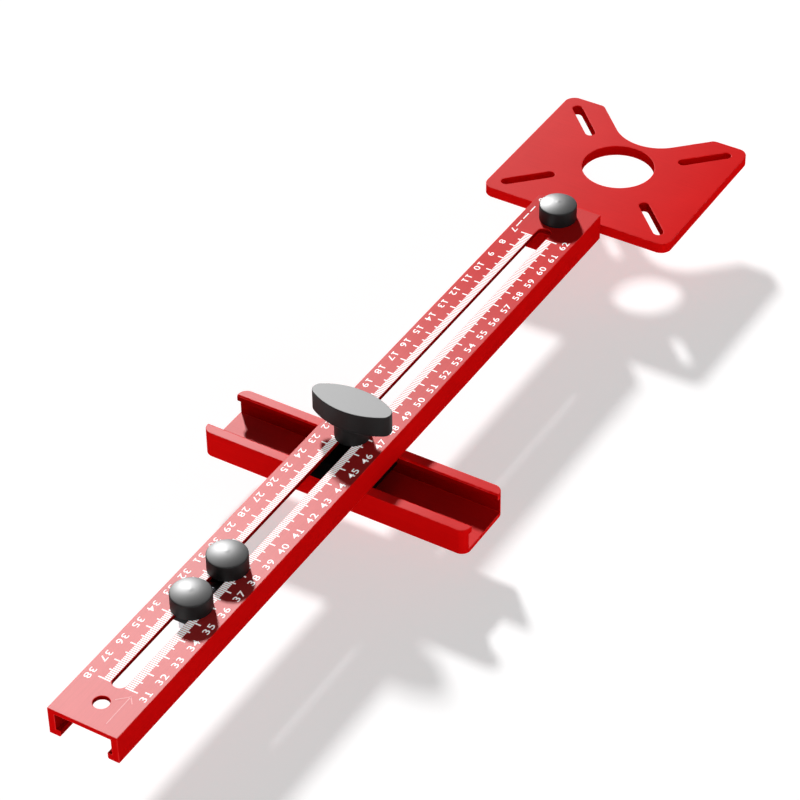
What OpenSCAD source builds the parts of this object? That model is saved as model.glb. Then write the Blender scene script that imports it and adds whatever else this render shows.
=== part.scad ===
// Router circle cutting jig: a slotted aluminium beam with a router plate at one end,
// a pivot carriage that slides in the beam's channel, and a fence channel clamped across
// under the beam. The origin is the centre of the bit opening on the plate's top face,
// +Y runs from the beam to the plate and +Z is up.

/* [Channel section] */
// Outside width of the extruded channel, for the beam and the fence
channel_w = 30.4; // [27:0.2:40]
// Outside height of the extruded channel
channel_h = 12.4; // [11.6:0.2:18]
// Thickness of the channel's roof
roof_t = 2; // [1.5:0.1:2.6]
// Thickness of the channel's side walls
wall_t = 3; // [2:0.1:3.6]
// Thickness of the lips along the open side
lip_t = 3; // [2:0.1:3.4]
// How far each lip reaches in from its side wall
lip_reach = 2; // [1:0.1:2.6]
// Chamfer on the inner corner of each lip
lip_chamfer = 0.5; // [0.1:0.1:1]

/* [Beam] */
// Length of the beam
beam_len = 360; // [320:1:600]
// From the beam's near end to the centre of the slot's near round end
slot_near = 23.8; // [18:0.1:36]
// From the beam's far end to the centre of the slot's far round end
slot_far = 23.5; // [22:0.5:60]
// From the beam's near end to its end hole
end_hole_offset = 12; // [9:0.5:13]
// From the beam's far end to the plate knob's hole
knob_hole_offset = 10.9; // [9:0.1:13]

/* [Router plate] */
// Width of the router plate
plate_w = 91; // [84:0.5:140]
// From the bit opening to the plate's front edge
plate_front = 42.3; // [38:0.1:80]
// From the bit opening to the plate's far edge
plate_back = 39.5; // [37:0.1:80]
// Thickness of the plate
plate_t = 5; // [4:0.1:6]
// Radius of the plate's outer corners
plate_corner_r = 5; // [1:0.5:12]
// Diameter of the bit opening
bit_d = 32.2; // [20:0.1:36]
// Radius of the round bottom of the notch in the far edge
notch_r = 19.8; // [12:0.1:26]
// From the bit opening's centre to the bottom of the notch
notch_bottom = 19.8; // [18.5:0.1:30]
// Radius of the corners where the notch meets the far edge
notch_corner_r = 3; // [0.5:0.5:6]
// Width of the router screw slots
screw_slot_w = 4.5; // [3:0.1:6]
// Length of the router screw slots, end to end
screw_slot_len = 24.5; // [10:0.5:26]
// From the plate's middle to the middle of each router screw slot, across the beam
screw_slot_x = 30.5; // [28:0.1:60]
// From the plate's middle to the middle of each router screw slot, along the beam
screw_slot_y = 26; // [24:0.1:60]
// Angle of the router screw slots to the plate's edges
screw_slot_angle = 45; // [30:1:60]
// Gap between the plate's front edge and the beam's far end
plate_gap = 3; // [0.5:0.1:8]
// Length of the plate's tongue inside the beam
tongue_len = 21.4; // [18:0.1:24]

/* [Fence] */
// Length of the fence channel
fence_len = 122; // [80:1:240]
// From the bit opening to the middle of the fence
fence_y = 223.8; // [120:0.2:250]
// How far the fence channel is shifted across the beam
fence_shift = -1; // [-30:0.5:30]
// Radius of the fence channel's corners, seen from above
fence_corner_r = 4; // [1:0.5:6]
// Length along the beam of the fence's slider block
slider_len = 34; // [24:0.5:50]
// Length of the clamp plate along the fence
clamp_len = 26; // [20:0.5:40]
// Thickness of the clamp plate
clamp_t = 3; // [2:0.1:3.2]
// Size across flats of the fence bolt's head
bolt_head_af = 10; // [9:0.1:12]
// Height of the fence bolt's head
bolt_head_h = 4; // [3:0.1:4.2]

/* [Fence knob] */
// Length of the oval head
oval_len = 35.5; // [28:0.5:50]
// Width of the oval head
oval_w = 15.2; // [12:0.1:20]
// Radius of the oval's ends
oval_end_r = 3.6; // [2:0.1:5]
// Height of the oval head
oval_h = 10.2; // [6:0.1:12]
// Radius of the oval head's lower edge
oval_edge_r = 1.5; // [1.5:0.1:3]
// Height of the knob's top above the beam
fence_knob_h = 17.8; // [15:0.1:26]
// Diameter of the knob's stem
stem_d = 14.6; // [13:0.1:14.8]
// Radius of the stem's lower edge
stem_edge_r = 0.8; // [0.2:0.1:1.5]
// Outside diameter of the brass insert
insert_d = 9; // [8:0.1:10]
// Length of the brass insert
insert_len = 10; // [6:0.1:11]

/* [Small knobs] */
// Diameter of the small round knobs
knob_d = 16.2; // [12:0.1:20]
// Height of the knob's straight side above the beam
knob_side_h = 6.8; // [5.6:0.1:12]
// Height of the domed top above the straight side
knob_crown = 1.8; // [1.2:0.1:4]
// Radius of the knob's upper edge
knob_edge_r = 0.6; // [0.4:0.1:1]
// Depth of the stud's seat in the knob
stud_seat = 5.5; // [3:0.1:6]

/* [Pivot] */
// From the bit opening to the pivot pin, which is the radius that is cut
pivot_y = 324.2; // [290:0.1:360]
// Distance between the two pivot knobs
pivot_knob_gap = 24; // [21:0.2:36]
// Thickness of the pivot bar
bar_t = 2; // [1.5:0.1:2.4]
// Length of the pivot bar beyond each knob's axis
bar_end = 6; // [5.8:0.1:10]
// Diameter of the pivot pin's threaded part
pin_d = 6; // [5:0.1:7]
// Diameter of the pivot pin's plain end
pin_end_d = 5; // [3:0.1:5.8]
// How far the pivot pin's plain end stands out below the beam
pin_reach = 8; // [3:0.1:11]
// Chamfer on the tip of the pivot pin
pin_tip = 0.6; // [0.2:0.1:1.2]
// Size across flats of the pivot pin's nut and of the press nuts
nut_af = 10; // [9:0.1:11]
// Height of the nuts under the pivot bar
nut_h = 4.6; // [3:0.1:5]

/* [Threads and fits] */
// Diameter of the threaded studs and of the fence bolt
stud_d = 6; // [5:0.1:6.4]
// Diameter of the press nuts' shank in the pivot bar
nut_shank_d = 8; // [7.4:0.1:8.6]
// Outside diameter of the thread insert in the tongue
tongue_insert_d = 8.4; // [8:0.1:10]
// Play on each side of a stud in the beam's slot
slot_clear = 0.1; // [0.05:0.01:0.3]
// Play round a stud in a plain hole
hole_clear = 0.2; // [0.1:0.05:0.5]
// Play round a stud in its thread
thread_clear = 0.05; // [0.02:0.01:0.1]
// Play round a pressed or moulded-in piece
press_clear = 0.02; // [0.01:0.01:0.05]
// Play on each side of a block that slides between lips or walls
slide_clear = 0.15; // [0.1:0.05:0.4]
// Free height left over a piece that slides in a channel
height_clear = 0.3; // [0.2:0.05:0.6]

/* [Hidden] */
$fn = 96;

// Colours as they look on the object
red = "firebrick";
black = [0.09, 0.09, 0.09];
dark_steel = [0.2, 0.2, 0.21];
steel = "silver";
brass = "goldenrod";

// Cuts run this far past the faces they open
over = 1;

// Levels and ends of the beam: its underside is level with the plate's underside
beam_top = channel_h - plate_t;
beam_bottom = -plate_t;
roof_under = beam_top - roof_t;
lip_top = beam_bottom + lip_t;
beam_far = -plate_front - plate_gap;
beam_near = beam_far - beam_len;
plate_knob_y = beam_far - knob_hole_offset;

// Widths inside the channel
inner_half = channel_w / 2 - wall_t;
mouth_half = inner_half - lip_reach;
slot_w = stud_d + 2 * slot_clear;
end_hole_d = stud_d + 2 * hole_clear;
thread_d = stud_d + 2 * thread_clear;

// Levels inside the fence channel, which is the same section turned upside down
fence_bottom = beam_bottom - channel_h;
fence_lip_under = beam_bottom - lip_t;
clamp_bottom = fence_lip_under - clamp_t;

// Places and levels of the pivot carriage
near_knob_y = -pivot_y - pivot_knob_gap / 2;
far_knob_y = -pivot_y + pivot_knob_gap / 2;
bar_bottom = roof_under - bar_t;
nut_bottom = bar_bottom - nut_h;
pin_head_r = pin_d / 2 + bar_t;

// Fence knob: radius and centre of the oval's long sides, which meet the round ends in a tangent
oval_end_x = oval_len / 2 - oval_end_r;
oval_side_r = (oval_end_x ^ 2 + (oval_w / 2) ^ 2 - oval_end_r ^ 2) / (oval_w - 2 * oval_end_r);
oval_side_y = oval_side_r - oval_w / 2;
oval_side_x = oval_end_x * oval_side_r / oval_side_y;
oval_bottom = beam_top + fence_knob_h - oval_h;

// Small knobs: radius and edge of the domed top, which meets the round edge in a tangent
knob_edge_x = knob_d / 2 - knob_edge_r;
dome_r = (knob_edge_x ^ 2 + knob_crown ^ 2 - knob_edge_r ^ 2) / (2 * (knob_crown - knob_edge_r));
dome_x = knob_edge_x * dome_r / (dome_r - knob_edge_r);

// Router plate: the notch's straight sides leave its round bottom at 45 degrees
plate_depth = plate_front + plate_back;
plate_mid_y = (plate_back - plate_front) / 2;
notch_y = notch_bottom + notch_r;
notch_side_x = notch_r * sin(45);
notch_side_y = notch_y - notch_r * cos(45);
notch_mouth_x = notch_side_x + plate_back - notch_side_y;

function mirrored(points) = [for (i = [len(points) - 1:-1:0]) [-points[i][0], points[i][1]]];
function hex_r(across_flats) = across_flats / 2 / cos(30);

// A round hole or rod along Z between two levels
module rod(d, z0, z1) {
    translate([0, 0, z0]) cylinder(d = d, h = z1 - z0);
}

// A hexagon along Z between two levels
module hex_rod(across_flats, z0, z1) {
    translate([0, 0, z0]) cylinder(r = hex_r(across_flats), h = z1 - z0, $fn = 6);
}

// A box centred on X and Y between two levels
module slab(size_x, size_y, z0, z1) {
    translate([-size_x / 2, -size_y / 2, z0]) cube([size_x, size_y, z1 - z0]);
}

// A slot along X with round ends, centred on X and Y, between two levels
module round_slot(length, width, z0, z1) {
    slab(length - width, width, z0, z1);
    for (side = [-1, 1]) translate([side * (length - width) / 2, 0, 0]) rod(width, z0, z1);
}

// The sliver outside a round corner at c, between the edges that leave it along d1 and d2
module corner_cut(c, d1, d2, r) {
    half = acos(d1 * d2) / 2;
    middle = (d1 + d2) / norm(d1 + d2);
    center = c + middle * r / sin(half);
    tangent = r / tan(half);
    difference() {
        polygon([c, c + d1 * tangent, center, c + d2 * tangent]);
        translate(center) circle(r);
    }
}

// Half of the channel's section, from the top corner round the lip to the roof
channel_half = [[channel_w / 2, 0], [channel_w / 2, -channel_h], [mouth_half + lip_chamfer, -channel_h],
                [mouth_half, -channel_h + lip_chamfer], [mouth_half, -channel_h + lip_t],
                [inner_half, -channel_h + lip_t], [inner_half, -roof_t]];

// A length of channel along Y, centred on it, with its roof's top at z = 0
module channel(length) {
    translate([0, length / 2, 0]) rotate([90, 0, 0])
        linear_extrude(length) polygon(concat(channel_half, mirrored(channel_half)));
}

module beam() {
    color(red) translate([0, 0, beam_top]) difference() {
        translate([0, beam_near + beam_len / 2, 0]) channel(beam_len);
        slot_centers = beam_len - slot_near - slot_far;
        translate([0, beam_near + slot_near + slot_centers / 2, 0]) rotate(90)
            round_slot(slot_centers + slot_w, slot_w, -roof_t - over, over);
        for (y = [beam_near + end_hole_offset, plate_knob_y])
            translate([0, y, 0]) rod(end_hole_d, -roof_t - over, over);
    }
}

// Outline of the router plate with its notch and round corners
module plate_outline() {
    difference() {
        translate([-plate_w / 2, -plate_front]) square([plate_w, plate_depth]);
        translate([0, notch_y]) circle(notch_r);
        polygon([[-notch_side_x, notch_side_y], [notch_side_x, notch_side_y],
                 [notch_mouth_x + over, plate_back + over], [-notch_mouth_x - over, plate_back + over]]);
        for (side = [-1, 1]) {
            corner_cut([side * plate_w / 2, -plate_front], [-side, 0], [0, 1], plate_corner_r);
            corner_cut([side * plate_w / 2, plate_back], [-side, 0], [0, -1], plate_corner_r);
            corner_cut([side * notch_mouth_x, plate_back], [side, 0],
                       [-side * sin(45), -cos(45)], notch_corner_r);
        }
    }
}

// Section of the tongue: it fills the channel above the lips and the mouth between them
tongue_half = [[inner_half - slide_clear, roof_under], [inner_half - slide_clear, lip_top + slide_clear],
               [mouth_half - slide_clear, lip_top + slide_clear], [mouth_half - slide_clear, beam_bottom]];

module router_plate() {
    color(red) difference() {
        union() {
            translate([0, 0, -plate_t]) linear_extrude(plate_t) plate_outline();
            translate([0, -plate_front, 0]) rotate([90, 0, 0])
                linear_extrude(plate_gap + tongue_len) polygon(concat(tongue_half, mirrored(tongue_half)));
        }
        rod(bit_d, -plate_t - over, over);
        for (side_x = [-1, 1], side_y = [-1, 1])
            translate([side_x * screw_slot_x, plate_mid_y + side_y * screw_slot_y, 0])
                rotate(side_x * side_y * screw_slot_angle)
                    round_slot(screw_slot_len, screw_slot_w, -plate_t - over, over);
        translate([0, plate_knob_y, 0])
            rod(tongue_insert_d + 2 * press_clear, beam_bottom - over, roof_under + over);
    }
}

module plate_thread_insert() {
    color(steel) translate([0, plate_knob_y, 0]) difference() {
        rod(tongue_insert_d, beam_bottom + over, roof_under);
        rod(thread_d, beam_bottom, roof_under + over);
    }
}

// A small round knob with a domed top and a blind seat for its stud, standing on z = 0
module small_knob() {
    difference() {
        rotate_extrude() {
            square([knob_d / 2, knob_side_h]);
            translate([knob_edge_x, knob_side_h]) circle(knob_edge_r);
            intersection() {
                translate([0, knob_side_h + knob_crown - dome_r]) circle(dome_r, $fn = 240);
                square([dome_x, knob_side_h + knob_crown]);
            }
        }
        rod(stud_d + 2 * press_clear, -over, stud_seat);
    }
}

module plate_knob() {
    color(black) translate([0, plate_knob_y, beam_top]) small_knob();
}

module plate_knob_stud() {
    color(steel) translate([0, plate_knob_y, 0]) rod(stud_d, beam_bottom + over, beam_top + stud_seat);
}

module fence_channel() {
    color(red) translate([fence_shift, -fence_y, 0]) difference() {
        translate([0, 0, fence_bottom]) rotate([180, 0, 90]) channel(fence_len);
        translate([0, 0, fence_bottom - over]) linear_extrude(channel_h + 2 * over)
            for (side_x = [-1, 1], side_y = [-1, 1])
                corner_cut([side_x * fence_len / 2, side_y * channel_w / 2],
                           [-side_x, 0], [0, -side_y], fence_corner_r);
    }
}

module fence_slider() {
    width = 2 * (mouth_half - slide_clear);
    color(black) translate([0, -fence_y, 0]) difference() {
        union() {
            slab(width, slider_len, beam_bottom, roof_under - height_clear);
            slab(width, width, fence_lip_under + height_clear, beam_bottom);
        }
        rod(end_hole_d, fence_lip_under, roof_under);
    }
}

module fence_clamp_plate() {
    color(steel) translate([0, -fence_y, 0]) difference() {
        slab(clamp_len, 2 * (inner_half - height_clear), clamp_bottom, fence_lip_under);
        rod(end_hole_d, clamp_bottom - over, fence_lip_under + over);
    }
}

module fence_bolt() {
    color(steel) translate([0, -fence_y, 0]) {
        hex_rod(bolt_head_af, clamp_bottom - bolt_head_h, clamp_bottom);
        rod(stud_d, clamp_bottom, beam_top + insert_len);
    }
}

// A disc standing on z = 0 with a round lower edge
module round_edged_disc(r, h, edge_r) {
    rotate_extrude() {
        translate([0, edge_r]) square([r, h - edge_r]);
        square([r - edge_r, edge_r]);
        intersection() {
            translate([r - edge_r, edge_r]) circle(edge_r, $fn = 64);
            square([r, edge_r]);
        }
    }
}

// The oval head standing on z = 0: two long arcs between the lines on which they meet the round ends
module oval_head() {
    intersection() {
        translate([0, -oval_side_y, 0]) round_edged_disc(oval_side_r, oval_h, oval_edge_r, $fn = 240);
        translate([0, oval_side_y, 0]) round_edged_disc(oval_side_r, oval_h, oval_edge_r, $fn = 240);
        linear_extrude(oval_h)
            polygon([[oval_end_x, 0], [oval_side_x, oval_w / 2], [-oval_side_x, oval_w / 2],
                     [-oval_end_x, 0], [-oval_side_x, -oval_w / 2], [oval_side_x, -oval_w / 2]]);
    }
    for (side = [-1, 1]) translate([side * oval_end_x, 0, 0])
        round_edged_disc(oval_end_r, oval_h, oval_edge_r);
}

module fence_knob() {
    stem_top = oval_bottom + oval_edge_r;
    color(black) translate([0, -fence_y, 0]) difference() {
        union() {
            translate([0, 0, oval_bottom]) oval_head();
            translate([0, 0, beam_top])
                round_edged_disc(stem_d / 2, stem_top - beam_top, stem_edge_r);
        }
        rod(insert_d + 2 * press_clear, beam_top - over, beam_top + insert_len + height_clear);
    }
}

module fence_knob_insert() {
    color(brass) translate([0, -fence_y, beam_top]) difference() {
        rod(insert_d, height_clear, insert_len + height_clear);
        rod(thread_d, 0, insert_len + height_clear + over);
    }
}

module pivot_bar() {
    bar_len = pivot_knob_gap + 2 * bar_end;
    color(dark_steel) difference() {
        translate([0, -pivot_y, 0])
            slab(2 * (inner_half - height_clear), bar_len, bar_bottom, roof_under);
        for (y = [near_knob_y, far_knob_y]) translate([0, y, 0])
            rod(nut_shank_d + 2 * press_clear, bar_bottom - over, roof_under + over);
        translate([0, -pivot_y, bar_bottom])
            cylinder(r1 = pin_d / 2 + press_clear, r2 = pin_head_r + press_clear, h = bar_t);
    }
}

// The pin is a countersunk screw with a plain end, flush with the bar's top
module pivot_pin() {
    color(steel) translate([0, -pivot_y, 0]) {
        translate([0, 0, bar_bottom]) cylinder(r1 = pin_d / 2, r2 = pin_head_r, h = bar_t);
        rod(pin_d, beam_bottom, bar_bottom);
        rod(pin_end_d, beam_bottom - pin_reach + pin_tip, beam_bottom);
        translate([0, 0, beam_bottom - pin_reach])
            cylinder(d1 = pin_end_d - 2 * pin_tip, d2 = pin_end_d, h = pin_tip);
    }
}

module pivot_pin_nut() {
    color(steel) translate([0, -pivot_y, 0]) difference() {
        hex_rod(nut_af, nut_bottom, bar_bottom);
        rod(pin_d + 2 * thread_clear, nut_bottom - over, bar_bottom + over);
    }
}

// A press nut: a hexagon under the bar with a shank through it
module press_nut() {
    color(steel) difference() {
        union() {
            hex_rod(nut_af, nut_bottom, bar_bottom);
            rod(nut_shank_d, bar_bottom, roof_under);
        }
        rod(thread_d, nut_bottom - over, roof_under + over);
    }
}

module pivot_nut_near() {
    translate([0, near_knob_y, 0]) press_nut();
}

module pivot_nut_far() {
    translate([0, far_knob_y, 0]) press_nut();
}

module pivot_knob_near() {
    color(black) translate([0, near_knob_y, beam_top]) small_knob();
}

module pivot_knob_far() {
    color(black) translate([0, far_knob_y, beam_top]) small_knob();
}

module pivot_stud_near() {
    color(steel) translate([0, near_knob_y, 0]) rod(stud_d, nut_bottom, beam_top + stud_seat);
}

module pivot_stud_far() {
    color(steel) translate([0, far_knob_y, 0]) rod(stud_d, nut_bottom, beam_top + stud_seat);
}

beam();
router_plate();
plate_thread_insert();
plate_knob();
plate_knob_stud();
fence_channel();
fence_slider();
fence_clamp_plate();
fence_bolt();
fence_knob();
fence_knob_insert();
pivot_bar();
pivot_pin();
pivot_pin_nut();
pivot_nut_near();
pivot_nut_far();
pivot_knob_near();
pivot_stud_near();
pivot_knob_far();
pivot_stud_far();
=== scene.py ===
# %% [markdown]
# # A router circle cutting jig
# A hand router bolts to the square plate, a pin under the other end of the
# red beam goes into the work, and the router swings round it to cut a circle.
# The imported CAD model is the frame: it fixes every size and every joint. This
# file only dresses it, so it starts by loading that frame and noting its box.

# %% Load the frame
import math

import bmesh
import bpy
from mathutils import Matrix, Vector
from mathutils.bvhtree import BVHTree


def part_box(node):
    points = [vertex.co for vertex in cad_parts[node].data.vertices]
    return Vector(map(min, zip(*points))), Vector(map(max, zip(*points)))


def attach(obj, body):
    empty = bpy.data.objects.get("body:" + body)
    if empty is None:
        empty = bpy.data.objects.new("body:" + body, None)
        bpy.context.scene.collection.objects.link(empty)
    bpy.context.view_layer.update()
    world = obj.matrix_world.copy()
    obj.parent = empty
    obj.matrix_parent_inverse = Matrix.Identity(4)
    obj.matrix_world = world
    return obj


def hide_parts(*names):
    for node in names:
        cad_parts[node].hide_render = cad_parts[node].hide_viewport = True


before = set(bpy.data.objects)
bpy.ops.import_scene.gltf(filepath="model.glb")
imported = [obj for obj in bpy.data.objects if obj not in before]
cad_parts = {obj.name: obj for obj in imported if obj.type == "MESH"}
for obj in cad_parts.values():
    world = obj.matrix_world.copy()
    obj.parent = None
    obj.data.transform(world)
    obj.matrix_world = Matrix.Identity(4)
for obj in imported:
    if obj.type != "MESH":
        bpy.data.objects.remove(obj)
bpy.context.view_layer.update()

# %% [markdown]
# ## Working in millimetres
# The frame is in metres, but a maker reads this part in millimetres, so every
# mesh is shaped in millimetres and scaled once, when it is finished. A CAD node
# arrives as loose triangles. Joining them and dissolving the flat ones gives
# whole faces again, which is what a bevel needs.

# %% Copy a CAD node
MM = 0.001
WELD = 0.002
FLAT = math.radians(0.3)
scene = bpy.context.scene


def joined_copy(node):
    """A CAD node as a bmesh in millimetres, its triangles joined."""
    bm = bmesh.new()
    bm.from_mesh(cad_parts[node].data)
    bmesh.ops.scale(bm, vec=(1 / MM,) * 3, verts=bm.verts)
    bmesh.ops.remove_doubles(bm, verts=bm.verts, dist=WELD)
    bmesh.ops.dissolve_limit(bm, angle_limit=FLAT, verts=bm.verts, edges=bm.edges)
    return bm


def box_mm(node):
    """The lowest and highest corner of a CAD node, in millimetres."""
    return tuple(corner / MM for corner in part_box(node))


print("beam in mm:", [[round(x, 2) for x in c] for c in box_mm("beam")])

# %% [markdown]
# ## Breaking the edges
# No metal edge on the real jig is knife sharp: the tumbling before anodising
# rounds it by a few tenths of a millimetre, and that narrow round is what draws
# the thin bright line along the beam. A bevel on every sharp edge gives it. The
# new faces get material slot 1, so the edge can have its own brighter finish.

# %% Soften a mesh
SHARP = math.radians(30)


def soften(bm, width, segments=2):
    """Rounds the sharp edges of a bmesh by this width."""
    sharp = [
        edge
        for edge in bm.edges
        if edge.is_manifold and edge.calc_face_angle() > SHARP
    ]
    made = bmesh.ops.bevel(
        bm,
        geom=sharp,
        offset=width,
        offset_type="OFFSET",
        affect="EDGES",
        segments=segments,
        profile=0.5,
        clamp_overlap=False,
        material=-1,
    )
    for face in made["faces"]:
        face.material_index = 1
    return bm


# %% [markdown]
# Every piece is finished in the same way. Its mesh goes back to metres, curved
# faces are shaded smooth up to the sharp edges, and the piece is hung on the body
# that it moves with. Weighted normals keep the large flats flat beside a bevel.

# %% Turn a bmesh into a finished piece
SMOOTH = math.radians(50)


def finish_piece(bm, name, body, finishes, stands_for=()):
    """Scales to metres, gives the finishes and hangs the piece on its body."""
    bmesh.ops.scale(bm, vec=(MM,) * 3, verts=bm.verts)
    mesh = bpy.data.meshes.new(name)
    bm.to_mesh(mesh)
    bm.free()
    old_normals = mesh.attributes.get("custom_normal")
    if old_normals:
        mesh.attributes.remove(old_normals)
    for finish in finishes:
        mesh.materials.append(finish)
    mesh.shade_smooth()
    mesh.set_sharp_from_angle(angle=SMOOTH)
    piece = bpy.data.objects.new(name, mesh)
    scene.collection.objects.link(piece)
    even = piece.modifiers.new("even_shading", "WEIGHTED_NORMAL")
    even.keep_sharp = True
    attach(piece, body)
    if stands_for:
        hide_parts(*stands_for)
    size = [round(x / MM, 2) for x in piece.dimensions]
    print(f"{name}: {len(mesh.polygons)} faces, {size} mm, rides on {body}")


# %% [markdown]
# ## Writing shader maths
# A finish is a sum of small patterns: streaks, clouds and specks. Wiring Math
# nodes by hand hides the sum, so one small class wraps a socket and lets Python
# operators add the nodes. Colours go through a Mix node instead, because a Math
# node would turn them grey.

# %% The wire class
class Wire:
    """One socket of a node tree that can be used in Python expressions."""

    def __init__(self, tree, socket=None):
        self.tree, self.socket = tree, socket

    def node(self, kind, settings=None, sockets=None, out=0):
        """Adds any node: its settings first, then its sockets."""
        made = self.tree.nodes.new(kind)
        for key, value in (settings or {}).items():
            setattr(made, key, value)
        for key, value in (sockets or {}).items():
            self.feed(made.inputs[key], value)
        return Wire(self.tree, made.outputs[out])

    def feed(self, target, value):
        if isinstance(value, Wire):
            self.tree.links.new(value.socket, target)
        else:
            target.default_value = value

    def maths(self, operation, first, second):
        return self.node("ShaderNodeMath", {"operation": operation}, {0: first, 1: second})

    def __add__(self, other):
        return self.maths("ADD", self, other)

    def __radd__(self, other):
        return self.maths("ADD", other, self)

    def __sub__(self, other):
        return self.maths("SUBTRACT", self, other)

    def __rsub__(self, other):
        return self.maths("SUBTRACT", other, self)

    def __mul__(self, other):
        return self.maths("MULTIPLY", self, other)

    def __rmul__(self, other):
        return self.maths("MULTIPLY", other, self)

    def above(self, low, high):
        """0 below low, 1 above high, and a straight ramp between them."""
        return self.node(
            "ShaderNodeMapRange", {"clamp": True}, {0: self, 1: low, 2: high}
        )

    def blend(self, first, second):
        """From the first colour to the second as this value goes from 0 to 1."""
        return self.node(
            "ShaderNodeMix", {"data_type": "RGBA"}, {0: self, 6: first, 7: second}, 2
        )


def new_finish(name, constants):
    """A material with its even values set on the shader's own sockets."""
    finish = bpy.data.materials.new(name)
    finish.use_nodes = True
    shader = finish.node_tree.nodes["Principled BSDF"]
    for socket, value in constants.items():
        shader.inputs[socket].default_value = value
    return finish, Wire(finish.node_tree), shader


def noise(wire, place, scale, detail=2.0):
    """Cloudy noise with this many features a metre, from 0 to 1."""
    sockets = {"Vector": place, "Scale": scale, "Detail": detail}
    return wire.node("ShaderNodeTexNoise", {}, sockets)


def streaks(wire, place, stretch, scale=1.0):
    """Noise drawn out into lines by this stretch along x, y and z."""
    drawn = wire.node("ShaderNodeMapping", {}, {"Vector": place, "Scale": stretch})
    return noise(wire, drawn, scale, 3.0)


def on_piece(wire):
    """The piece's own coordinates, so that a pattern moves with the piece."""
    return wire.node("ShaderNodeTexCoord", out="Object")


def upward(wire):
    """How far a face points up: 1 on a level top and 0 on a wall."""
    facing = wire.node("ShaderNodeTexCoord", out="Normal")
    return wire.node("ShaderNodeSeparateXYZ", {}, {0: facing}, "Z")


def roughen(wire, shader, strength, depth, height):
    """Gives a shader a fine relief, whose depth is in metres."""
    sockets = {"Strength": strength, "Distance": depth, "Height": height}
    relief = wire.node("ShaderNodeBump", {}, sockets, "Normal")
    wire.feed(shader.inputs["Normal"], relief)


print("shader helpers ready")

# %% [markdown]
# ## Red anodised aluminium
# The beam, the plate and the fence are aluminium, tumbled, dyed red in the
# anodising bath and sealed. The dye sits in a clear oxide layer, so the body is
# a deep even red and the worked top faces add a pale sheen on it, while the
# sides stay saturated. Fine die lines run along each extrusion, the bath leaves
# faint clouds, and the blasted surface has a very fine tooth. The sheen is Coat
# Weight on the faces that point up. Its strength is a painted highlight set by
# position: strongest at the beam's near end and on the left of the plate and the
# fence, and fading away from there.

# %% The red finishes
DEEP_RED = (0.68, 0.0015, 0.002, 1.0)
CLEAR_RED = (0.83, 0.003, 0.003, 1.0)
EDGE_RED = (0.88, 0.03, 0.03, 1.0)
DIE_LINES = {"x": (45.0, 3200.0, 3200.0), "y": (3200.0, 45.0, 3200.0)}
CLOUDS = 38.0
TOOTH = 3600.0
SIDE_SHEEN = 0.007
SATIN, SATIN_INDEX = 0.60, 3.0
RUB_MARKS = 420.0


def anodised_red(name, along, depth, start, end, most, least):
    """Red aluminium with die lines along x or y, at this depth of dye.

    Its painted sheen, a highlight set by position, falls from most to least between start
    and end on that axis.
    """
    finish, wire, shader = new_finish(
        name,
        {
            "Specular IOR Level": 0.0,
            "Coat Roughness": SATIN,
            "Coat IOR": SATIN_INDEX,
        },
    )
    place = on_piece(wire)
    run = wire.node("ShaderNodeSeparateXYZ", {}, {0: place}, along.upper())
    # painted highlight: the coat's sheen is set by position along the piece
    painted_sheen = most - (most - least) * run.above(start, end)
    top = upward(wire).above(0.80, 0.97)
    lines = streaks(wire, place, DIE_LINES[along])
    clouds = noise(wire, place, CLOUDS, 3.0)
    tooth = noise(wire, place, TOOTH, 1.0)
    tone = depth + (lines - 0.5) * 0.9 + (clouds - 0.5) * 0.8 + (tooth - 0.5) * 0.35
    wire.feed(shader.inputs["Base Color"], tone.blend(DEEP_RED, CLEAR_RED))
    wire.feed(shader.inputs["Roughness"], 0.36 + 0.12 * lines + 0.08 * tooth)
    wire.feed(
        shader.inputs["Coat Weight"],
        SIDE_SHEEN + top * painted_sheen * (0.87 + 0.14 * lines + 0.12 * clouds),
    )
    roughen(wire, shader, 0.25, 0.00002, 0.6 * lines + 0.4 * tooth)
    return finish


def worn_edge(name):
    """The broken edges, where the dye is thinner and a little brighter."""
    finish, wire, shader = new_finish(name, {"Specular IOR Level": 0.06})
    rub = noise(wire, on_piece(wire), RUB_MARKS, 3.0).above(0.42, 0.72)
    wire.feed(shader.inputs["Base Color"], rub.blend(CLEAR_RED, EDGE_RED))
    wire.feed(shader.inputs["Roughness"], 0.30 + 0.15 * rub)
    return finish


# most and least paint each piece's highlight fade along its length
red_beam = anodised_red(
    "red_anodised_beam", "y", depth=0.30, start=-0.30, end=-0.10, most=0.48, least=0.11
)
red_plate = anodised_red(
    "red_anodised_plate", "x", depth=0.60, start=-0.045, end=0.045, most=0.10, least=0.026
)
red_fence = anodised_red(
    "red_anodised_fence", "x", depth=0.45, start=-0.05, end=0.05, most=0.36, least=0.075
)
red_edge = worn_edge("red_anodised_edge")
print("red finishes:", [m.name for m in (red_beam, red_plate, red_fence, red_edge)])

# %% [markdown]
# Tumbling doesn't reach the inside of a channel, a slot or a hole, so the metal there
# keeps the rough skin that the die or the cutter left, with no sheen. Its deep red is
# painted shade, standing in for the shade that falls inside these hollows. That is a
# finish of its own, which inner walls get as material slot 2.

# %% The rough finish and painted shade of the inner walls
# painted shade: deep reds for the walls inside channels, slots and holes
INNER_SHADE_DEEP = (0.26, 0.0008, 0.001, 1.0)
INNER_SHADE_CLEAR = (0.36, 0.0015, 0.0015, 1.0)
CUT_SHADE_DEEP = (0.46, 0.001, 0.0012, 1.0)
CUT_SHADE_CLEAR = (0.58, 0.002, 0.002, 1.0)


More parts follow.
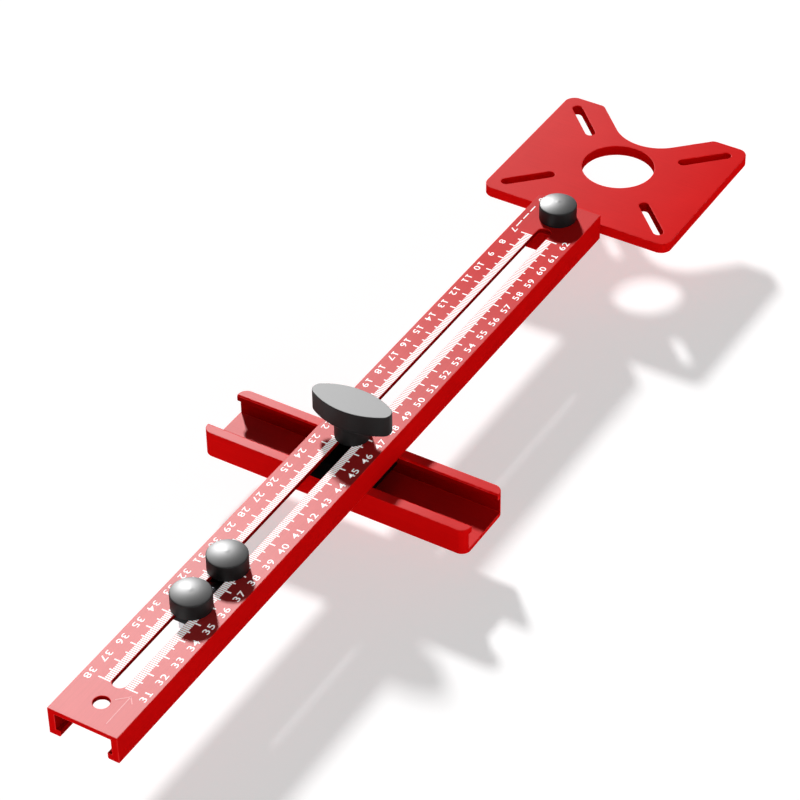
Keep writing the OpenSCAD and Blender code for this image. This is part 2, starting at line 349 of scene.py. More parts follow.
def rough_shaded_red(name, along, deep, clear):
    """Unpolished metal with coarse tool lines along x or y; its deep red is painted shade.
    """
    finish, wire, shader = new_finish(name, {"Specular IOR Level": 0.0})
    place = on_piece(wire)
    lines = streaks(wire, place, DIE_LINES[along], 0.5)
    clouds = noise(wire, place, CLOUDS, 3.0)
    tone = 0.6 * lines + 0.4 * clouds
    wire.feed(shader.inputs["Base Color"], tone.blend(deep, clear))
    wire.feed(shader.inputs["Roughness"], 0.55 + 0.2 * lines)
    roughen(wire, shader, 0.3, 0.00003, lines)
    return finish


red_shade_in_beam = rough_shaded_red("red_rough_shaded_beam", "y", INNER_SHADE_DEEP, INNER_SHADE_CLEAR)
red_shade_in_fence = rough_shaded_red("red_rough_shaded_fence", "x", INNER_SHADE_DEEP, INNER_SHADE_CLEAR)
red_shade_in_plate = rough_shaded_red("red_rough_shaded_plate", "x", CUT_SHADE_DEEP, CUT_SHADE_CLEAR)
print("inner finishes:", [m.name for m in (red_shade_in_beam, red_shade_in_fence, red_shade_in_plate)])

# %% [markdown]
# ## Black moulded plastic
# The knobs and the slider come out of a mould, so they have no grain: a fine
# even texture from the tool, a slightly uneven gloss, and the odd pale speck
# where the surface is rubbed. Three scales of noise on Object coordinates do
# that, and the specks stay small enough to be read only close by.

# %% The plastic finish
PLASTIC_DEEP = (0.003, 0.003, 0.0032, 1.0)
PLASTIC_WORN = (0.010, 0.010, 0.0104, 1.0)
FLOW, PEBBLE, SPECKS = 90.0, 2400.0, 900.0


def moulded_black(name, rough, gloss, polish, spread, index):
    """Black plastic: a gloss all over, and a polish on the faces that look up."""
    finish, wire, shader = new_finish(
        name,
        {"Specular IOR Level": gloss, "Coat Roughness": spread, "Coat IOR": index},
    )
    place = on_piece(wire)
    flow = noise(wire, place, FLOW, 3.0)
    pebble = noise(wire, place, PEBBLE, 2.0)
    specks = noise(wire, place, SPECKS, 4.0).above(0.66, 0.78)
    tone = flow * 0.7 + specks * 0.5
    wire.feed(shader.inputs["Base Color"], tone.blend(PLASTIC_DEEP, PLASTIC_WORN))
    wire.feed(shader.inputs["Roughness"], rough + 0.08 * flow + 0.06 * pebble)
    wire.feed(
        shader.inputs["Coat Weight"],
        upward(wire).above(0.45, 0.85) * polish * (0.94 + 0.12 * flow),
    )
    roughen(wire, shader, 0.2, 0.00003, pebble)
    return finish


black_knob = moulded_black(
    "black_knob_plastic", rough=0.45, gloss=0.24, polish=0.87, spread=0.49, index=2.0
)
black_oval = moulded_black(
    "black_oval_plastic", rough=0.45, gloss=0.26, polish=0.50, spread=0.60, index=3.0
)
black_slider = moulded_black(
    "black_slider_plastic", rough=0.60, gloss=0.0, polish=0.0, spread=0.49, index=1.5
)
print("plastic finishes:", [m.name for m in (black_knob, black_oval, black_slider)])

# %% [markdown]
# ## Steel and brass
# The bar under the two small knobs is blackened steel. The clamp plate in the fence
# gets the same near-black finish, which is painted shade there: it stands for the
# shade that the plate sits in. The other hidden hardware is plated steel, and the
# threaded insert in the oval knob is brass. All three are fully metallic, so their
# colour is in the reflection, and what tells them apart up close is how streaky the polish
# is.

# %% The metal finishes
TURNED, ROLLED = (900.0, 900.0, 5000.0), (3500.0, 120.0, 3500.0)
STAINS = 160.0


def polished_metal(name, dull, bright, rough, grain):
    """A bare metal whose tone runs from dull to bright along fine streaks."""
    finish, wire, shader = new_finish(name, {"Metallic": 1.0})
    place = on_piece(wire)
    brushed = streaks(wire, place, grain)
    stain = noise(wire, place, STAINS, 3.0)
    tone = brushed * 0.6 + stain * 0.4
    wire.feed(shader.inputs["Base Color"], tone.blend(dull, bright))
    wire.feed(shader.inputs["Roughness"], rough + 0.14 * brushed + 0.12 * stain)
    roughen(wire, shader, 0.15, 0.00002, brushed)
    return finish


plated_steel = polished_metal(
    "plated_steel",
    dull=(0.46, 0.47, 0.49, 1.0),
    bright=(0.70, 0.71, 0.73, 1.0),
    rough=0.20,
    grain=TURNED,
)
# blackened steel for the pivot bar; on the clamp plate this near-black is painted shade
dark_steel = polished_metal(
    "blackened_steel_and_painted_shade",
    dull=(0.008, 0.008, 0.009, 1.0),
    bright=(0.030, 0.030, 0.033, 1.0),
    rough=0.40,
    grain=ROLLED,
)
brass = polished_metal(
    "turned_brass",
    dull=(0.62, 0.43, 0.16, 1.0),
    bright=(0.83, 0.63, 0.30, 1.0),
    rough=0.20,
    grain=TURNED,
)
print("metal finishes:", plated_steel.name, dark_steel.name, brass.name)

# %% [markdown]
# ## The three red pieces of the frame
# The beam is a C-shaped extrusion with a slot in its roof, the plate is milled
# from sheet with a tongue that fills the beam's end, and the fence is a second
# length of the same extrusion turned upside down. The CAD solids already have
# these shapes, holes and all, so each is copied, softened and given its finish.

# %% Inner walls
CLEAR_OF_WALL = 0.02


def shade_inner_walls(bm):
    """Gives slot 2, the painted shade, to the faces that look straight at another wall of
    the piece.
    """
    bm.normal_update()
    walls = BVHTree.FromBMesh(bm)
    inner = []
    for face in bm.faces:
        eye = face.calc_center_median() + face.normal * CLEAR_OF_WALL
        if walls.ray_cast(eye, face.normal)[0]:
            inner.append(face)
    for face in inner:
        face.material_index = 2
    print("inner walls:", len(inner), "of", len(bm.faces), "faces")
    return bm


# %% Beam, plate and fence
EDGE_ROUND = 0.25

# slot 2 of each red piece is the painted shade of its inner walls
for node, made_by, body, top_red, inner_shade_red in (
    ("beam", "extrusion", "beam", red_beam, red_shade_in_beam),
    ("router_plate", "milled", "beam", red_plate, red_shade_in_plate),
    ("fence_channel", "extrusion", "fence", red_fence, red_shade_in_fence),
):
    finish_piece(
        shade_inner_walls(soften(joined_copy(node), EDGE_ROUND)),
        f"{node}_{made_by}",
        body,
        [top_red, red_edge, inner_shade_red],
        [node],
    )

# %% [markdown]
# ## The small round knobs
# Three low black knobs clamp the plate and the pivot bar. Each is a short
# cylinder under a shallow dome, with a small round edge between the two and a
# tiny mark in the middle where the plastic entered the mould. A turned shape is a
# spin: one point swung about a level axis draws the dome's arc, the last point of
# that arc is swung again to draw the round edge, and the whole profile is then
# spun once about the knob's own line.

# %% A turned knob
KNOB_STEPS = 72
DOME_STEPS, EDGE_STEPS = 10, 5
KNOB_EDGE, KNOB_CROWN, KNOB_FOOT = 0.6, 1.8, 0.4
GATE_RADIUS, GATE_RING, GATE_RISE = 0.6, 0.2, 0.02
LEVEL = 0.9
TOUCH = 0.0005


def spin_profile(bm, verts, centre_y, steps):
    """Joins profile points into a line and spins it about a vertical line."""
    for first, second in zip(verts, verts[1:]):
        if not bm.edges.get((first, second)):
            bm.edges.new((first, second))
    bmesh.ops.spin(
        bm,
        geom=bm.verts[:] + bm.edges[:],
        cent=(0.0, centre_y, 0.0),
        axis=(0.0, 0.0, 1.0),
        angle=math.tau,
        steps=steps,
        use_merge=True,
    )
    bmesh.ops.remove_doubles(bm, verts=bm.verts, dist=TOUCH)
    bmesh.ops.recalc_face_normals(bm, faces=bm.faces)


def swing(bm, vert, centre, angle, steps):
    """Draws an arc from a point about a level line through the centre."""
    made = bmesh.ops.spin(
        bm, geom=[vert], cent=centre, axis=(0.0, 1.0, 0.0), angle=angle, steps=steps
    )
    return [v for v in made["geom_last"] if isinstance(v, bmesh.types.BMVert)][0]


def small_knob(node):
    """A domed knob in the place of this CAD knob, whose body has the same name."""
    low, high = box_mm(node)
    middle = (low.y + high.y) / 2
    radius = (high.x - low.x) / 2
    edge_x, edge_z = radius - KNOB_EDGE, high.z - KNOB_CROWN
    ball = (edge_x**2 + KNOB_CROWN**2 - KNOB_EDGE**2) / (2 * (KNOB_CROWN - KNOB_EDGE))
    lean = math.asin(edge_x / (ball - KNOB_EDGE))
    bm = bmesh.new()
    tip = bm.verts.new((0.0, middle, high.z))
    brow = swing(bm, tip, (0.0, middle, high.z - ball), lean, DOME_STEPS)
    swing(bm, brow, (edge_x, middle, edge_z), math.pi / 2 - lean, EDGE_STEPS)
    bm.verts.ensure_lookup_table()
    arc = sorted(bm.verts, key=lambda v: -v.co.z)
    side = [(radius, low.z + KNOB_FOOT), (radius - KNOB_FOOT, low.z), (0.0, low.z)]
    line = arc + [bm.verts.new((r, middle, z)) for r, z in side]
    spin_profile(bm, line, middle, KNOB_STEPS)
    gate = [
        face
        for face in bm.faces
        if face.normal.z > LEVEL
        and (face.calc_center_median().xy - Vector((0.0, middle))).length < GATE_RADIUS
    ]
    bmesh.ops.inset_region(bm, faces=gate, thickness=GATE_RING, depth=GATE_RISE)
    print(node, "gate mark faces:", len(gate))
    finish_piece(bm, node + "_moulding", node, [black_knob], [node])


for node in ("plate_knob", "pivot_knob_near", "pivot_knob_far"):
    small_knob(node)

# %% [markdown]
# ## The oval fence knob and the slider
# The fence is locked by a wide oval knob, a shape the fingers can twist hard:
# a flat-topped head with rounded undersides on a round stem. Below it a plastic
# slider fills the beam's slot and keys the fence square. Both are mouldings
# whose CAD solids are right, so they only need their edges broken.

# %% Oval knob and slider
OVAL_ROUND, OVAL_SEGMENTS = 0.3, 3
SLIDER_ROUND = 0.25

finish_piece(
    soften(joined_copy("fence_knob"), OVAL_ROUND, OVAL_SEGMENTS),
    "fence_knob_moulding",
    "fence_knob",
    [black_oval, black_oval],
    ["fence_knob"],
)
finish_piece(
    soften(joined_copy("fence_slider"), SLIDER_ROUND),
    "fence_slider_moulding",
    "fence_carriage",
    [black_slider, black_slider],
    ["fence_slider"],
)

# %% [markdown]
# ## Nuts and the fence bolt
# A hexagon nut is turned before it is tapped, which cuts its corners back to a
# cone. That curved chamfer is what makes a hexagon read as a nut. Here a ring of
# slanted cuts with bisect_plane takes the corners off, and each cut is filled. The
# crowns are sunk by a hair, so that the pressed-in nuts never rub the beam's roof.

# %% Chamfered hexagons
CHAMFER_CUTS = 24
CHAMFER_SLOPE = math.radians(30)
CHAMFER_START = 0.96
NUT_SINK = 0.05


def turn_corners(bm, centre_y, across_flats, height, side):
    """Cuts a hexagon's corners back to a cone; side is 1 for its top, -1 for its foot."""
    reach = across_flats / 2 * CHAMFER_START
    for cut in range(CHAMFER_CUTS):
        turn = math.tau * cut / CHAMFER_CUTS
        out = Vector((math.cos(turn), math.sin(turn), 0.0))
        slant = out * math.sin(CHAMFER_SLOPE)
        slant.z = side * math.cos(CHAMFER_SLOPE)
        made = bmesh.ops.bisect_plane(
            bm,
            geom=bm.verts[:] + bm.edges[:] + bm.faces[:],
            dist=TOUCH,
            plane_co=out * reach + Vector((0.0, centre_y, height)),
            plane_no=slant,
            clear_outer=True,
        )
        rim = [
            edge
            for edge in made["geom_cut"]
            if isinstance(edge, bmesh.types.BMEdge) and edge.is_boundary
        ]
        if rim:
            bmesh.ops.edgeloop_fill(bm, edges=rim)
    bmesh.ops.recalc_face_normals(bm, faces=bm.faces)
    return bm


def hexagon_nut(node):
    """A nut of the pivot carriage with turned corners on both faces."""
    low, high = box_mm(node)
    flats = min(high.x - low.x, high.y - low.y)
    middle = (low.y + high.y) / 2
    bm = joined_copy(node)
    turn_corners(bm, middle, flats, high.z, 1)
    turn_corners(bm, middle, flats, low.z, -1)
    crown = [vert for vert in bm.verts if vert.co.z > high.z - NUT_SINK / 2]
    bmesh.ops.translate(bm, vec=(0.0, 0.0, -NUT_SINK), verts=crown)
    finish_piece(
        bm, node + "_turned", "pivot_carriage", [plated_steel], [node]
    )


for node in ("pivot_pin_nut", "pivot_nut_near", "pivot_nut_far"):
    hexagon_nut(node)
bolt_low, bolt_high = box_mm("fence_bolt")
bolt_y = (bolt_low.y + bolt_high.y) / 2
bolt_flats = min(bolt_high.x - bolt_low.x, bolt_high.y - bolt_low.y)
finish_piece(
    turn_corners(joined_copy("fence_bolt"), bolt_y, bolt_flats, bolt_low.z, -1),
    "fence_bolt_turned",
    "fence_carriage",
    [plated_steel],
    ["fence_bolt"],
)

# %% [markdown]
# ## Threads
# A screw thread is a zigzag line that climbs one pitch in each turn, and spin
# can climb while it turns. The zigzag runs past the rod at each end, so that two
# level cuts leave clean flat ends to fill.

# %% A threaded rod
PITCH = 1.0
THREAD_DEPTH = 0.55
THREAD_STEPS = 24


def thread(bm, centre_y, radius, bottom, top):
    """Adds a closed threaded rod to a bmesh."""
    rod = bmesh.new()
    teeth = math.ceil((top - bottom) / PITCH) + 3
    line = []
    for tooth in range(teeth):
        foot = bottom + PITCH * (tooth - 2)
        line.append(rod.verts.new((radius - THREAD_DEPTH, centre_y, foot)))
        line.append(rod.verts.new((radius, centre_y, foot + PITCH / 2)))
    for first, second in zip(line, line[1:]):
        rod.edges.new((first, second))
    bmesh.ops.spin(
        rod,
        geom=rod.verts[:] + rod.edges[:],
        cent=(0.0, centre_y, 0.0),
        axis=(0.0, 0.0, 1.0),
        dvec=(0.0, 0.0, PITCH / THREAD_STEPS),
        angle=math.tau,
        steps=THREAD_STEPS,
    )
    bmesh.ops.remove_doubles(rod, verts=rod.verts, dist=WELD)
    for level, outward in ((bottom, -1.0), (top, 1.0)):
        cut = bmesh.ops.bisect_plane(
            rod,
            geom=rod.verts[:] + rod.edges[:] + rod.faces[:],
            dist=TOUCH,
            plane_co=(0.0, 0.0, level),
            plane_no=(0.0, 0.0, outward),
            clear_outer=True,
        )
        rim = [e for e in cut["geom_cut"] if isinstance(e, bmesh.types.BMEdge)]
        bmesh.ops.edgeloop_fill(rod, edges=rim)
    bmesh.ops.recalc_face_normals(rod, faces=rod.faces)
    spare = bpy.data.meshes.new("thread_blank")
    rod.to_mesh(spare)
    rod.free()
    bm.from_mesh(spare)
    bpy.data.meshes.remove(spare)
    return bm


for node, body in (
    ("plate_knob_stud", "plate_knob"),
    ("pivot_stud_near", "pivot_knob_near"),
    ("pivot_stud_far", "pivot_knob_far"),
):
    low, high = box_mm(node)
    rod_y, rod_radius = (low.y + high.y) / 2, (high.x - low.x) / 2
    rod = thread(bmesh.new(), rod_y, rod_radius, low.z, high.z)
    finish_piece(rod, node + "_thread", body, [plated_steel], [node])

# %% [markdown]
# ## The pivot pin
# The pin is a countersunk screw: its head sits flush in the pivot bar under the
# slot, a nut holds it, and its plain end reaches down into the hole in the work.
# The head and the plain end are level rings of edges with faces bridged between
# them, the socket for the key is a hexagon ring inside the head's rim, and the shank
# between the two is threaded.

# %% Pin
PIN_STEPS = 48
SOCKET_FLATS, SOCKET_DEPTH, SOCKET_CUTS = 4.0, 1.6, PIN_STEPS // 6 - 1
HEAD_RADIUS, PIN_THREAD, PIN_END = 5.0, 3.0, 2.5
HEAD_RIM, TIP_CHAMFER = 0.15, 0.6
pin_low, pin_high = box_mm("pivot_pin")
pin_y = (pin_low.y + pin_high.y) / 2
head_foot = pin_high.z - (HEAD_RADIUS - PIN_THREAD)
shank_foot = box_mm("beam")[0].z


def ring_of(bm, radius, height, segments, cuts=0):
    """A level ring of edges about the pin's line."""
    made = bmesh.ops.create_circle(
        bm,
        segments=segments,
        radius=radius,
        matrix=Matrix.Translation((0.0, pin_y, height)),
    )
    edges = {edge for vert in made["verts"] for edge in vert.link_edges}
    if cuts:
        more = bmesh.ops.subdivide_edges(bm, edges=list(edges), cuts=cuts)
        edges |= {e for e in more["geom"] if isinstance(e, bmesh.types.BMEdge)}
    return list(edges)


pin_mesh = bmesh.new()
socket_radius = SOCKET_FLATS / math.sqrt(3)
head_rings = [
    ring_of(pin_mesh, PIN_THREAD, head_foot, PIN_STEPS),
    ring_of(pin_mesh, HEAD_RADIUS, pin_high.z - HEAD_RIM, PIN_STEPS),
    ring_of(pin_mesh, HEAD_RADIUS - HEAD_RIM, pin_high.z, PIN_STEPS),
    ring_of(pin_mesh, socket_radius, pin_high.z, 6, SOCKET_CUTS),
    ring_of(pin_mesh, socket_radius, pin_high.z - SOCKET_DEPTH, 6, SOCKET_CUTS),
]
for lower, upper in zip(head_rings, head_rings[1:]):
    bmesh.ops.bridge_loops(pin_mesh, edges=lower + upper)
bmesh.ops.edgeloop_fill(pin_mesh, edges=head_rings[0])
bmesh.ops.edgeloop_fill(pin_mesh, edges=head_rings[-1])
bmesh.ops.recalc_face_normals(pin_mesh, faces=pin_mesh.faces)
thread(pin_mesh, pin_y, PIN_THREAD, shank_foot, head_foot)
tip_rings = [
    ring_of(pin_mesh, radius, height, PIN_STEPS)
    for radius, height in (
        (PIN_END, shank_foot),
        (PIN_END, pin_low.z + TIP_CHAMFER),
        (PIN_END - TIP_CHAMFER, pin_low.z),
    )
]
tip_faces = []
for upper, lower in zip(tip_rings, tip_rings[1:]):
    tip_faces += bmesh.ops.bridge_loops(pin_mesh, edges=upper + lower)["faces"]
for ring in (tip_rings[0], tip_rings[-1]):
    tip_faces += bmesh.ops.edgeloop_fill(pin_mesh, edges=ring)["faces"]
bmesh.ops.recalc_face_normals(pin_mesh, faces=tip_faces)
finish_piece(
    pin_mesh,
    "pivot_pin_turned",
    "pivot_carriage",
    [plated_steel],
    ["pivot_pin"],
)

# %% [markdown]
# ## Pressed and flat hardware
# The pivot bar and the fence's clamp plate are punched from strip, so their
# edges are only a little rounded. The two threaded inserts are sunk in other
# pieces and show no more than a ring, so the CAD solids stay and get a finish.

# %% Bar, clamp plate and inserts
STRIP_ROUND = 0.2

# the clamp plate's near-black finish is painted shade
for node, body in (
    ("pivot_bar", "pivot_carriage"),
    ("fence_clamp_plate", "fence_carriage"),
):
    finish_piece(
        soften(joined_copy(node), STRIP_ROUND),
        node + "_punched",
        body,
        [dark_steel, dark_steel],
        [node],
    )
for node, metal in (("plate_thread_insert", plated_steel), ("fence_knob_insert", brass)):
    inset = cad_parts[node]
    inset.data.materials.clear()
    inset.data.materials.append(metal)
    print(node, "keeps its CAD solid in", metal.name)

# %% [markdown]
# ## White scale ink
# A centimetre scale is printed along both sides of the slot, with numbers that
# count up away from the plate on the left and down on the right. The ink is a
# thin film, so every mark is a very thin solid that stands a few hundredths of a
# millimetre proud of the roof. Its finish is a white with worn specks, and it glows:
# an emission, painted light, keeps it pale where a knob's shadow falls on it.

# %% The ink finishes
INK_GRAIN, INK_PATCHES = 2600.0, 70.0


def printed_ink(name, thin, full, coat, glow):
    """A film of ink that wears from full to thin; glow is painted light, an emission that
    keeps it pale in the shade.
    """
    finish, wire, shader = new_finish(
        name,
        {
            "Specular IOR Level": 0.3,
            "Coat Weight": coat,
            "Coat Roughness": SATIN,
            "Coat IOR": SATIN_INDEX,
            "Emission Strength": glow,
        },
    )
    place = on_piece(wire)
    film = noise(wire, place, INK_GRAIN, 3.0).above(0.30, 0.55)
    patch = noise(wire, place, INK_PATCHES, 2.0)
    tone = film * (0.85 + 0.15 * patch)
    colour = tone.blend(thin, full)
    wire.feed(shader.inputs["Base Color"], colour)
    wire.feed(shader.inputs["Emission Color"], colour)
    wire.feed(shader.inputs["Roughness"], 0.45 + 0.2 * patch)
    return finish


# painted light: this ink's emission keeps the scale pale in shadow
glowing_white_ink = printed_ink(
    "white_scale_ink",
    thin=(0.70, 0.67, 0.67, 1.0),
    full=(0.77, 0.77, 0.77, 1.0),
    coat=0.08,
    glow=0.62,
)
faint_ink = printed_ink(
    "faint_arrow_ink",
    thin=(0.84, 0.10, 0.10, 1.0),
    full=(0.90, 0.20, 0.20, 1.0),
    coat=0.48,
    glow=0.0,
)
print("ink finishes:", glowing_white_ink.name, faint_ink.name)

# %% [markdown]
# A straight mark is one box. It is sunk a little into the roof, so that no gap
# shows under the film, and it is turned along its own line.

# %% A stroke of ink
ROOF = box_mm("beam")[1].z
INK_PROUD, INK_SUNK = 0.04, 0.03


def mark(bm, start, end, width):
    """A thin straight stroke of ink on the roof from start to end."""
    start, end = Vector((*start, 0.0)), Vector((*end, 0.0))
    run = end - start
    middle = (start + end) / 2
    middle.z = ROOF + (INK_PROUD - INK_SUNK) / 2
    size = Matrix.Diagonal((run.length, width, INK_PROUD + INK_SUNK, 1.0))
    turn = Matrix.Rotation(math.atan2(run.y, run.x), 4, "Z")
    bmesh.ops.create_cube(
        bm, size=1.0, matrix=Matrix.Translation(middle) @ turn @ size
    )


# %% [markdown]
# The ticks are one stroke a millimetre, longer at 5 and at 10 millimetres, and
# they start at the slot. There are over six hundred, so each is a plain thin box.

# %% Ticks, dashes and arrow
SCALE_START, SCALE_STEPS = -73.1, 310
SLOT_EDGE = 3.3
TICK_WIDTH, SHORT_WIDTH = 0.6, 0.66
REACH = {0: 8.6, 5: 7.3}
SHORT_REACH = 6.25
DASHES = ((-53.8, -58.1), (-59.6, -64.25), (-65.6, -70.4))
DASH_X, DASH_WIDTH = -12.4, 0.5
ARROW_TIP = (7.55, -385.8)
ARROW_ENDS = ((7.65, -401.1), (3.5, -389.8), (10.0, -388.6))
ARROW_WIDTH = 0.36

ticks = bmesh.new()
for step in range(SCALE_STEPS + 1):
    y = SCALE_START - step
    reach = REACH.get(step % 10, SHORT_REACH)
    for side in (-1, 1):
        mark(ticks, (side * SLOT_EDGE, y), (side * SHORT_REACH, y), SHORT_WIDTH)
        if reach > SHORT_REACH:
            mark(ticks, (side * SHORT_REACH, y), (side * reach, y), TICK_WIDTH)
for first, last in DASHES:
    mark(ticks, (DASH_X, first), (DASH_X, last), DASH_WIDTH)
finish_piece(ticks, "beam_scale_ticks", "beam", [glowing_white_ink])

arrow = bmesh.new()
for far_end in ARROW_ENDS:
    mark(arrow, far_end, ARROW_TIP, ARROW_WIDTH)
finish_piece(arrow, "beam_feed_arrow", "beam", [faint_ink])

# %% [markdown]
# The numbers are wide, even figures with a foot under the 1. Blender's own plain
# typeface is close once it is stretched along the line, and the curve's offset
# makes its strokes as heavy as the printed ones. Each figure is a text curve made
# into a mesh, thickened by extrusion and laid with its foot to the beam's edge,
# so the two rows read in opposite directions.

# %% Numbers
DIGIT_HEIGHT, DIGIT_FOOT, DIGIT_PITCH = 2.8, 13.55, 3.2
DIGIT_STRETCH, STROKE_GAIN = 1.45, 0.006
ONE_FOOT, STROKE = 1.0, 0.42
GLYPH_WELD = 0.0001


def figure_mesh(figure):
    """One figure of the plain typeface as a flat mesh."""
    curve = bpy.data.curves.new("figure", "FONT")
    curve.body = figure
    curve.align_x = "CENTER"
    curve.resolution_u = 4
    curve.offset = STROKE_GAIN
    letter = bpy.data.objects.new("figure", curve)
    scene.collection.objects.link(letter)
    graph = bpy.context.evaluated_depsgraph_get()
    mesh = bpy.data.meshes.new_from_object(letter.evaluated_get(graph))
    bpy.data.objects.remove(letter)
    bpy.data.curves.remove(curve)
    return mesh


def printed_figure(figure):
    """A figure as a thin closed film, its middle foot at the origin."""
    mesh = figure_mesh(figure)
    film = bmesh.new()
    film.from_mesh(mesh)
    bmesh.ops.remove_doubles(film, verts=film.verts, dist=GLYPH_WELD)
    foot = min(v.co.y for v in film.verts)
    height = max(v.co.y for v in film.verts) - foot
    made = bmesh.ops.extrude_face_region(film, geom=film.faces[:])
    lifted = [v for v in made["geom"] if isinstance(v, bmesh.types.BMVert)]
    bmesh.ops.translate(film, vec=(0.0, 0.0, 1.0), verts=lifted)
    bmesh.ops.translate(film, vec=(0.0, -foot, 0.0), verts=film.verts)
    bmesh.ops.recalc_face_normals(film, faces=film.faces)
    size = DIGIT_HEIGHT / height
    thick = INK_PROUD + INK_SUNK
    bmesh.ops.scale(film, vec=(size * DIGIT_STRETCH, size, thick), verts=film.verts)
    film.to_mesh(mesh)
    film.free()
    return mesh


figures = {figure: printed_figure(figure) for figure in "0123456789"}
spare = bpy.data.meshes.new("figure_blank")
print("figures made:", "".join(figures))

# %% [markdown]
# The numbers of the left row start at 7 beside the plate and count up towards the
# near end. Those of the right row start at 62 and count down. A lone 0 stands beyond
# the left row, near the plate.

# %% The two rows
LEFT_FIRST, RIGHT_FIRST = 7, 62
ZERO_Y = -48.2


def lay_number(bm, number, side, y):
    """Prints a number beside the slot; side is 1 for the right row."""
    for place, figure in enumerate(number):
        along = y + side * (place - (len(number) - 1) / 2) * DIGIT_PITCH
        seat = Matrix.Translation((side * DIGIT_FOOT, along, ROOF - INK_SUNK))
        turn = Matrix.Rotation(side * math.pi / 2, 4, "Z")
        film = bmesh.new()
        film.from_mesh(figures[figure])
        bmesh.ops.transform(film, matrix=seat @ turn, verts=film.verts)
        film.to_mesh(spare)
        film.free()
        bm.from_mesh(spare)
        if figure == "1":
            foot = side * (DIGIT_FOOT - STROKE / 2)
            mark(bm, (foot, along - ONE_FOOT), (foot, along + ONE_FOOT), STROKE)


numbers = bmesh.new()
for centimetre in range(SCALE_STEPS // 10 + 1):
    y = SCALE_START - 10 * centimetre
    lay_number(numbers, str(LEFT_FIRST + centimetre), -1, y)
    lay_number(numbers, str(RIGHT_FIRST - centimetre), 1, y)
lay_number(numbers, "0", -1, ZERO_Y)
for mesh in [spare, *figures.values()]:
    bpy.data.meshes.remove(mesh)
finish_piece(numbers, "beam_scale_numbers", "beam", [glowing_white_ink])

# %% [markdown]
# ## Floor and light
# The jig stands over a plain white studio floor. One key lamp from behind on the
# left throws the shadows and lights the soft sheen of the worked faces, whose fade
# along each piece is a painted highlight in the coat, and the room and the floor fill
# the shadows. The floor is white to the eye, straight and mirrored, and keeps the shadow.

# %% Floor
FLOOR = -0.0345
FLOOR_SIZE = 12.0
FLOOR_MIDDLE = (0.0, -0.18, FLOOR)

floor_mesh = bmesh.new()
bmesh.ops.create_grid(
    floor_mesh,
    x_segments=1,
    y_segments=1,
    size=FLOOR_SIZE / 2,
    matrix=Matrix.Translation(FLOOR_MIDDLE),
)
floor_data = bpy.data.meshes.new("studio_floor")
floor_mesh.to_mesh(floor_data)
floor_mesh.free()
floor = bpy.data.objects.new("studio_floor", floor_data)
scene.collection.objects.link(floor)
print("floor at", FLOOR, "m")

# %% [markdown]
# To the eye the lit floor has to be as white as the paper behind the jig, while its
# shadow stays a pale grey. So the eye sees a greyer paint with a small even glow,
# and the light that the floor throws back at the jig comes from plain white paint.
# From below the floor is clear, so the underside of the jig can be looked at.

# %% Floor paint
WHITE = (1.0, 1.0, 1.0, 1.0)
LIT_WHITE = (0.90, 0.90, 0.90, 1.0)
SEEN_WHITE = (0.63, 0.63, 0.63, 1.0)
SHADE_LIFT = 0.505

floor_paint = bpy.data.materials.new("white_floor")
floor_paint.use_nodes = True
floor_tree = floor_paint.node_tree
floor_tree.nodes.clear()
wire = Wire(floor_tree)


def seen(wire):
    """1 for rays that come from the eye, straight, mirrored or through glass."""
    straight = wire.node("ShaderNodeLightPath", out="Is Camera Ray")
    mirrored = wire.node("ShaderNodeLightPath", out="Is Glossy Ray")
    through = wire.node("ShaderNodeLightPath", out="Is Transmission Ray")
    return wire.maths("MINIMUM", straight + mirrored + through, 1.0)


lit = wire.node("ShaderNodeBsdfDiffuse", {}, {"Color": LIT_WHITE})
shade = wire.node("ShaderNodeBsdfDiffuse", {}, {"Color": SEEN_WHITE})
glow = wire.node("ShaderNodeEmission", {}, {"Color": WHITE, "Strength": SHADE_LIFT})
pale = wire.node("ShaderNodeAddShader", {}, {0: shade, 1: glow})
face_up = wire.node("ShaderNodeMixShader", {}, {0: seen(wire), 1: lit, 2: pale})
clear = wire.node("ShaderNodeBsdfTransparent")
behind = wire.node("ShaderNodeNewGeometry", out="Backfacing")
from_below = behind * wire.node("ShaderNodeLightPath", out="Is Camera Ray")
whole = wire.node("ShaderNodeMixShader", {}, {0: from_below, 1: face_up, 2: clear})
output = floor_tree.nodes.new("ShaderNodeOutputMaterial")
floor_tree.links.new(whole.socket, output.inputs["Surface"])
floor_data.materials.append(floor_paint)
print("floor paint:", len(floor_tree.nodes), "nodes")

# %% [markdown]
# The room is a plain dome: a low band of light at the horizon behind the camera,
# dim overhead and dim behind the part, as a studio with one low white wall and a
# dark ceiling. The band lights the sides that are seen. It is too low to shine into
# the hollow of the fence or to haze the tops, so the shadows there stay deep, and
# the painted shade on the fence's inner walls darkens the hollow further.

# %% Room
ROOF_FILL, WALL_FILL = 0.04, 2.85
WALL_TOP = 0.6
WALL_WAY = (0.643, -0.766)

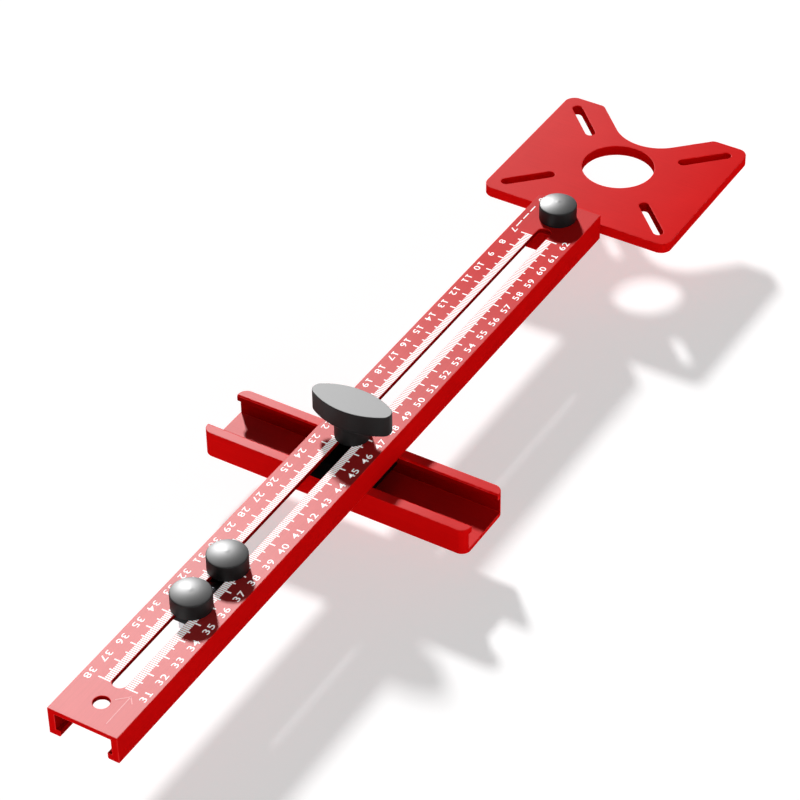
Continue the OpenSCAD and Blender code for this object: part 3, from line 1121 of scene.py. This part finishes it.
room = bpy.data.worlds.new("studio_room")
room.use_nodes = True
room_tree = room.node_tree
room_tree.nodes.clear()
wire = Wire(room_tree)
way = wire.node("ShaderNodeTexCoord", out="Generated")
to_right = wire.node("ShaderNodeSeparateXYZ", {}, {0: way}, "X")
to_plate = wire.node("ShaderNodeSeparateXYZ", {}, {0: way}, "Y")
height = wire.node("ShaderNodeSeparateXYZ", {}, {0: way}, "Z")
front = 0.5 + 0.5 * (WALL_WAY[0] * to_right + WALL_WAY[1] * to_plate)
low = 1.0 - height.above(0.0, WALL_TOP)
fill = ROOF_FILL + WALL_FILL * low * front * front
air = wire.node("ShaderNodeBackground", {}, {"Color": WHITE, "Strength": fill})
room_output = room_tree.nodes.new("ShaderNodeOutputWorld")
room_tree.links.new(air.socket, room_output.inputs["Surface"])
scene.world = room
print("room:", len(room_tree.nodes), "nodes")

# %% [markdown]
# The key lamp is a sun with a small disc, so shadows are sharp beside the part and
# soften on the floor below it. Its direction comes from the knobs' shadows.

# %% Key lamp
MIDDLE = Vector((0.0, -0.20, 0.0))
LAMP_AZIMUTH, LAMP_ELEVATION, LAMP_DISTANCE = -43.8, 32.1, 2.0
LAMP_ENERGY, LAMP_DISC = 3.95, math.radians(5.5)


def towards(azimuth, elevation):
    """A direction, its azimuth from +Y towards +X, in degrees."""
    a, e = math.radians(azimuth), math.radians(elevation)
    return Vector((math.cos(e) * math.sin(a), math.cos(e) * math.cos(a), math.sin(e)))


light = bpy.data.lights.new("key_lamp", "SUN")
light.energy = LAMP_ENERGY
light.angle = LAMP_DISC
lamp = bpy.data.objects.new("key_lamp", light)
lamp_way = towards(LAMP_AZIMUTH, LAMP_ELEVATION)
lamp.location = MIDDLE + lamp_way * LAMP_DISTANCE
lamp.rotation_mode = "QUATERNION"
lamp.rotation_quaternion = lamp_way.to_track_quat("Z", "Y")
scene.collection.objects.link(lamp)
print("key lamp at", [round(x, 3) for x in lamp.location])

# %% [markdown]
# ## Camera
# The photograph was taken from above the near right corner with a long lens.
# Its place and turn were worked out from the edges of the beam and the plate.

# %% Camera
EYE = Vector((0.47667, -0.96413, 0.75242))
EYE_AZIMUTH, EYE_ELEVATION, EYE_ROLL = -31.5564, 39.5656, math.radians(-0.8429)
LENS, SENSOR = 132.235, 36.0

forward = towards(EYE_AZIMUTH, -EYE_ELEVATION)
level = forward.cross(Vector((0.0, 0.0, 1.0))).normalized()
upright = level.cross(forward)
right = math.cos(EYE_ROLL) * level + math.sin(EYE_ROLL) * upright
up = right.cross(forward)
camera_data = bpy.data.cameras.new("photo_camera")
camera_data.lens, camera_data.sensor_width = LENS, SENSOR
camera_data.clip_start, camera_data.clip_end = 0.05, 50.0
camera = bpy.data.objects.new("photo_camera", camera_data)
turn = Matrix((right, up, -forward)).transposed()
camera.matrix_world = Matrix.Translation(EYE) @ turn.to_4x4()
scene.collection.objects.link(camera)
scene.camera = camera
scene.view_settings.view_transform = "Standard"
print("camera at", [round(x, 4) for x in EYE], "lens", LENS)
